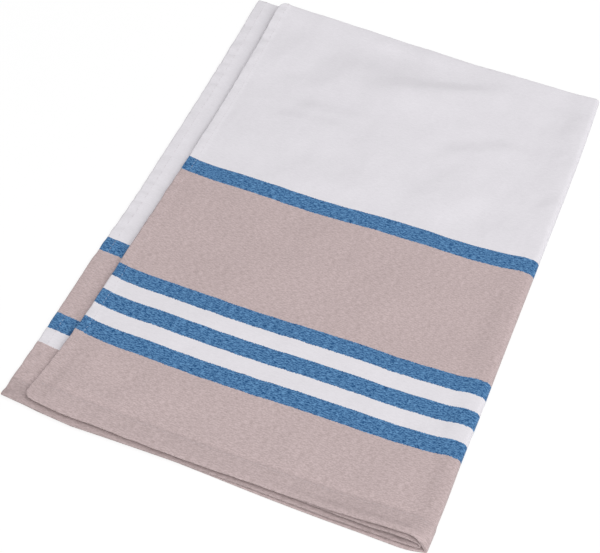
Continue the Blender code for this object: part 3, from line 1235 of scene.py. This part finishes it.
@dataclass
class TowelCloth:
    """The towel's one piece of cloth, closed and rounded at its edges.

    The mesh is fine where the cloth shows. Across, it has top_cell on the upper pair and
    strip_cell on the strip_width of the lower pair beside it. Along, it has outer_cell on
    the outer sheet and inner_cell on the inner_length of the inner one. Either way,
    bend_cell and back_cell lead into the fold, and hidden_cell fills the rest.
    """

    fold: QuarterFold
    finish: StripedCotton
    top_cell: float = 2.55
    outer_cell: float = 2.4
    inner_cell: float = 2.85
    strip_cell: float = 2.6
    strip_width: float = 24.0
    inner_length: float = 330.0
    hidden_cell: float = 22.0
    bend_approach: float = 10.0
    bend_cell: float = 1.6
    back_approach: float = 6.0
    back_cell: float = 3.0
    rim_steps: int = 4
    fold_steps: int = 12
    edge_places: tuple = (1.4, 2.4, 3.6, 5.2, 6.8)
    step_shares: tuple = (-0.5, -0.17, 0.17, 0.5, 1.0)

    def edge_stations(self, hem: float, radius: float) -> list[float]:
        """Distances from an edge: round its rim, over its hem, and down the hem's step.

        Args:
            hem: Width of the hem.
            radius: How far the rim's rounding reaches in.

        Returns:
            The distances, rising.
        """
        rim = [radius * (1.0 - math.cos(math.pi / 2 * step / self.rim_steps))
               for step in range(self.rim_steps + 1)]
        inside = [place for place in self.edge_places if place < hem - self.fold.hem_step]
        step = [hem + self.fold.hem_step * share for share in self.step_shares]
        return rim + inside + step

    def hairpin_stations(self, leg: float, hem: float, radius: float, first: float,
                         second: float, seen_to: float) -> np.ndarray:
        """Distances from the first edge, over the fold, to the other edge.

        Args:
            leg: Distance from an edge to the middle of the fold.
            hem: Width of the hem.
            radius: How far the rim's rounding reaches in.
            first: Mesh cell on the first leg.
            second: Mesh cell on the second leg, as far as it is seen.
            seen_to: How far from its edge the second leg is seen.

        Returns:
            The distances, rising.
        """
        edge = self.edge_stations(hem, radius)
        bend = self.fold.half_fold_length
        flat_end = leg - bend
        first_leg = edge + self.spread(edge[-1], flat_end - self.bend_approach, first)
        first_leg += self.spread(flat_end - self.bend_approach, flat_end, self.bend_cell)
        over = [flat_end + 2.0 * bend * step / self.fold_steps
                for step in range(1, self.fold_steps)]
        back = edge + self.spread(edge[-1], seen_to, second)
        back += self.spread(seen_to, flat_end - self.back_approach,
                            max(self.hidden_cell, second))
        back += self.spread(flat_end - self.back_approach, flat_end, self.back_cell)
        return np.array(first_leg + over + [2.0 * leg - place for place in reversed(back)])

    @staticmethod
    def spread(start: float, end: float, cell: float) -> list[float]:
        """Evenly spaced places after the start, up to the end, about a cell apart.

        Args:
            start: Where they start, left out itself.
            end: Where they end.
            cell: Usual distance between two.

        Returns:
            The places, rising.
        """
        if end <= start:
            return []
        return list(np.linspace(start, end, max(1, round((end - start) / cell)) + 1)[1:])

    def stations(self) -> tuple[np.ndarray, np.ndarray]:
        """Mesh stations across and along the flat cloth.

        Returns:
            The stations across and the stations along.
        """
        across = self.hairpin_stations(
            TOWEL_WIDTH / 2, SIDE_HEM_WIDTH, self.fold.side_rim_radius,
            self.top_cell, self.strip_cell, self.strip_width)
        along = self.hairpin_stations(
            TOWEL_LENGTH / 2, END_HEM_DEPTH, self.fold.end_rim_radius,
            self.outer_cell, self.inner_cell, self.inner_length)
        return across, along

    def build(self, origin: Vector) -> bpy.types.Object:
        """Builds the cloth's mesh and dresses it.

        Args:
            origin: What is taken from the pile's own places to put it on the frame.

        Returns:
            The cloth.
        """
        across, along = self.stations()
        points = self.fold.folded(across[None, :], along[:, None])
        place = points.place - np.array(origin)
        normal = unit(np.cross(np.gradient(place, axis=1), np.gradient(place, axis=0)))
        from_side, from_end = from_edges(across, along)
        half = self.fold.thickness(from_side[None, :], from_end[:, None])[..., None] / 2
        faces_up = place + normal * half
        faces_down = place - normal * half
        return self.closed_mesh(faces_up, faces_down, points)

    def closed_mesh(
        self, face: np.ndarray, back: np.ndarray, points: ClothPoint
    ) -> bpy.types.Object:
        """Joins the cloth's face and back along its edges.

        Args:
            face: Grid of the face's points.
            back: Grid of the back's points, on the face's at the edges.
            points: The grid's places on the flat cloth.

        Returns:
            The cloth.
        """
        rows, columns = face.shape[:2]
        face_index = np.arange(rows * columns).reshape(rows, columns)
        back_index = np.full((rows, columns), -1)
        inside = (slice(1, -1), slice(1, -1))
        count = (rows - 2) * (columns - 2)
        back_index[inside] = rows * columns + np.arange(count).reshape(rows - 2, columns - 2)
        back_index = np.where(back_index < 0, face_index, back_index)
        vertices = np.concatenate([face.reshape(-1, 3), back[inside].reshape(-1, 3)]) * METRES
        quads = np.concatenate([self.quads(face_index), self.quads(back_index)[:, ::-1]])
        flat = np.stack([points.from_first_side, points.from_first_end], axis=-1)
        flat = np.concatenate([flat.reshape(-1, 2), flat[inside].reshape(-1, 2)]) * METRES
        return make_piece("towel_cloth", vertices.tolist(), quads.tolist(),
                          self.finish.material(), "cloth", flat)

    @staticmethod
    def quads(index: np.ndarray) -> np.ndarray:
        """Faces of a grid of vertex numbers."""
        return np.stack([index[:-1, :-1], index[:-1, 1:], index[1:, 1:], index[1:, :-1]],
                        axis=-1).reshape(-1, 4)


@dataclass
class HemStitching:
    """Lockstitch rows that hold the hems, on both faces of the cloth."""

    fold: QuarterFold
    finish: SewingThread
    pitch: float = 2.7
    stitch_length: float = 2.05
    thread_width: float = 0.15
    thread_height: float = 0.05
    from_side: float = 6.2
    from_end: float = 11.6
    sides: int = 5
    rings: int = 5
    seed: int = 21
    wander: float = 0.05
    stretches: tuple = (0.92, 1.08)
    surface_reach: float = 0.5
    tip_dip: float = 1.7
    sunk_share: float = 0.25
    tip_narrowing: float = 0.35
    flattening: float = 0.7

    def rows(self) -> list[tuple[np.ndarray, np.ndarray, bool]]:
        """Middles of the stitches of the four rows.

        Returns:
            For each row the places across and along the flat cloth, and whether it runs along.
        """
        along = np.arange(self.from_end, TOWEL_LENGTH - self.from_end, self.pitch)
        across = np.arange(self.from_side, TOWEL_WIDTH - self.from_side, self.pitch)
        out = []
        for side in (self.from_side, TOWEL_WIDTH - self.from_side):
            out.append((np.full(len(along), side), along, True))
        for end in (self.from_end, TOWEL_LENGTH - self.from_end):
            out.append((across, np.full(len(across), end), False))
        return out

    def build(self, origin: Vector) -> bpy.types.Object:
        """Builds all the stitches as one mesh.

        Args:
            origin: What is taken from the pile's own places to put it on the frame.

        Returns:
            The stitching.
        """
        chance = np.random.RandomState(self.seed)
        points, faces, wraps = [], [], []
        for across, along, runs_along in self.rows():
            across = across + chance.normal(0.0, self.wander, len(across))
            along = along + chance.normal(0.0, self.wander, len(along))
            middle, normal, ahead = self.surface(across, along, runs_along)
            half = self.fold.thickness(*from_edges(across, along)) / 2
            for sign in (1.0, -1.0):
                for index in range(len(middle)):
                    base = middle[index] + normal[index] * sign * half[index] - np.array(origin)
                    self.add_stitch(points, faces, wraps, base, normal[index] * sign,
                                    ahead[index], chance.uniform(*self.stretches))
        return make_piece("hem_stitches", (np.array(points) * METRES).tolist(), faces,
                          self.finish.material(), "thread", np.array(wraps))

    def surface(
        self, across: np.ndarray, along: np.ndarray, runs_along: bool
    ) -> tuple[np.ndarray, np.ndarray, np.ndarray]:
        """Mid-surface, normal and stitching direction at places on the flat cloth.

        Args:
            across: Distances across.
            along: Distances along.
            runs_along: Whether the row runs along the cloth.

        Returns:
            The points, their unit normals and the row's unit directions.
        """
        reach = self.surface_reach
        step_across = (self.fold.folded(across + reach, along).place
                       - self.fold.folded(across - reach, along).place)
        step_along = (self.fold.folded(across, along + reach).place
                      - self.fold.folded(across, along - reach).place)
        ahead = unit(step_along if runs_along else step_across)
        normal = unit(np.cross(step_across, step_along))
        return self.fold.folded(across, along).place, normal, ahead

    def add_stitch(self, points: list, faces: list, wraps: list, base: np.ndarray,
                   normal: np.ndarray, ahead: np.ndarray, stretch: float) -> None:
        """Adds one stitch: a thread that rises out of the cloth and dips back in.

        Args:
            points: Vertices so far.
            faces: Faces so far.
            wraps: UV of each vertex so far.
            base: Middle of the stitch on the cloth's surface.
            normal: Unit normal there.
            ahead: Unit direction of the row.
            stretch: Factor on the stitch's length.
        """
        beside = np.cross(normal, ahead)
        first = len(points)
        for ring in range(self.rings):
            share = ring / (self.rings - 1) * 2.0 - 1.0
            arch = (self.thread_height * (1.0 - self.tip_dip * share ** 4)
                    - self.thread_width * self.sunk_share)
            middle = base + ahead * share * self.stitch_length / 2 * stretch + normal * arch
            width = self.thread_width / 2 * (1.0 - self.tip_narrowing * share ** 4)
            for side in range(self.sides):
                angle = 2.0 * math.pi * side / self.sides
                points.append(middle + beside * width * math.cos(angle)
                              + normal * width * self.flattening * math.sin(angle))
                wraps.append((side / self.sides * METRES, share * METRES))
        for ring in range(self.rings - 1):
            for side in range(self.sides):
                start = first + ring * self.sides
                near, far = start + side, start + (side + 1) % self.sides
                faces.append((near, far, far + self.sides, near + self.sides))
        last = first + (self.rings - 1) * self.sides
        faces.append(tuple(first + side for side in reversed(range(self.sides))))
        faces.append(tuple(last + side for side in range(self.sides)))


@dataclass
class Towel:
    """The folded towel: its cloth and its hem stitching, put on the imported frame.

    middle is the place in the pile that lies on the frame's origin.
    """

    fold: QuarterFold = field(default_factory=QuarterFold)
    node: str = "towel"
    middle: tuple = (-6.255, -2.526, 0.0)

    def build(self) -> tuple[bpy.types.Object, bpy.types.Object]:
        """Builds both pieces and ties them to the frame.

        Returns:
            The cloth and the stitching.
        """
        origin = Vector(self.middle)
        cloth = TowelCloth(self.fold, StripedCotton()).build(origin)
        stitches = HemStitching(self.fold, SewingThread()).build(origin)
        for piece in (cloth, stitches):
            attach(piece, "root")
        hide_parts(self.node)
        return cloth, stitches


@dataclass
class Studio:
    """Pale floor, soft light and the camera at the photograph's angle."""

    floor_width: float = 8.0
    dome_strength: float = 0.15
    backdrop_strength: float = 1.0
    key_power: float = 129.0
    key_width: float = 5.2
    key_distance: float = 2.6
    key_azimuth: float = 60.0
    key_elevation: float = 66.0
    camera_azimuth: float = 22.31
    camera_elevation: float = 56.21
    camera_roll: float = 0.71
    camera_distance: float = 739.65
    camera_target: tuple = (-3.231, -33.157, 0.0)
    lens: float = 72.0
    sensor_width: float = 36.0

    def floor(self) -> bpy.types.Object:
        """Builds the floor under the towel.

        Returns:
            The floor.
        """
        half = self.floor_width / 2
        corners = [(-half, -half, 0.0), (half, -half, 0.0), (half, half, 0.0), (-half, half, 0.0)]
        floor = make_piece("studio_floor", corners, [(0, 1, 2, 3)], PaleFloor().material())
        return floor

    @staticmethod
    def away(azimuth: float, elevation: float) -> Vector:
        """Unit direction from the towel to something at an azimuth and elevation in degrees."""
        turn, rise = math.radians(azimuth), math.radians(elevation)
        return Vector((math.sin(turn) * math.cos(rise), -math.cos(turn) * math.cos(rise),
                       math.sin(rise)))

    def lights(self) -> None:
        """Sets one large soft key, and a dome that is dim to the towel but white to the camera."""
        world = bpy.data.worlds.new("white_dome")
        world.use_nodes = True
        background = world.node_tree.nodes["Background"]
        background.inputs["Color"].default_value = (1.0, 1.0, 1.0, 1.0)
        rays = world.node_tree.nodes.new("ShaderNodeLightPath")
        strength = world.node_tree.nodes.new("ShaderNodeMapRange")
        strength.inputs["To Min"].default_value = self.dome_strength
        strength.inputs["To Max"].default_value = self.backdrop_strength
        world.node_tree.links.new(rays.outputs["Is Camera Ray"], strength.inputs["Value"])
        world.node_tree.links.new(strength.outputs[0], background.inputs["Strength"])
        bpy.context.scene.world = world
        key = bpy.data.lights.new("soft_key", "AREA")
        key.shape = "DISK"
        key.size = self.key_width
        key.energy = self.key_power
        holder = bpy.data.objects.new("soft_key", key)
        direction = self.away(self.key_azimuth, self.key_elevation)
        holder.location = direction * self.key_distance
        holder.rotation_euler = direction.to_track_quat("Z", "Y").to_euler()
        bpy.context.scene.collection.objects.link(holder)

    def camera(self) -> None:
        """Sets the camera where the photograph was taken from."""
        back = self.away(self.camera_azimuth, self.camera_elevation)
        turn = math.radians(self.camera_azimuth)
        level = Vector((math.cos(turn), math.sin(turn), 0.0))
        upright = back.cross(level)
        roll = math.radians(self.camera_roll)
        right = level * math.cos(roll) + upright * math.sin(roll)
        up = upright * math.cos(roll) - level * math.sin(roll)
        data = bpy.data.cameras.new("camera")
        data.lens = self.lens
        data.sensor_width = self.sensor_width
        camera = bpy.data.objects.new("camera", data)
        place = (Vector(self.camera_target) + back * self.camera_distance) * METRES
        axes = Matrix((right, up, back)).transposed().to_4x4()
        camera.matrix_world = Matrix.Translation(place) @ axes
        bpy.context.scene.collection.objects.link(camera)
        bpy.context.scene.camera = camera

    def build(self) -> bpy.types.Object:
        """Builds the whole studio.

        Returns:
            The floor.
        """
        self.lights()
        self.camera()
        bpy.context.scene.view_settings.view_transform = "Standard"
        return self.floor()


def main() -> None:
    """Builds the towel and its studio, and reports each piece."""
    logging.basicConfig(level=logging.INFO, format="%(name)s: %(message)s")
    cloth, stitches = Towel().build()
    for piece in (cloth, stitches):
        LOG.info("%s: %d faces", piece.name, len(piece.data.polygons))
    floor = Studio().build()
    LOG.info("%s is ready", floor.name)


if __name__ == "__main__":
    main()
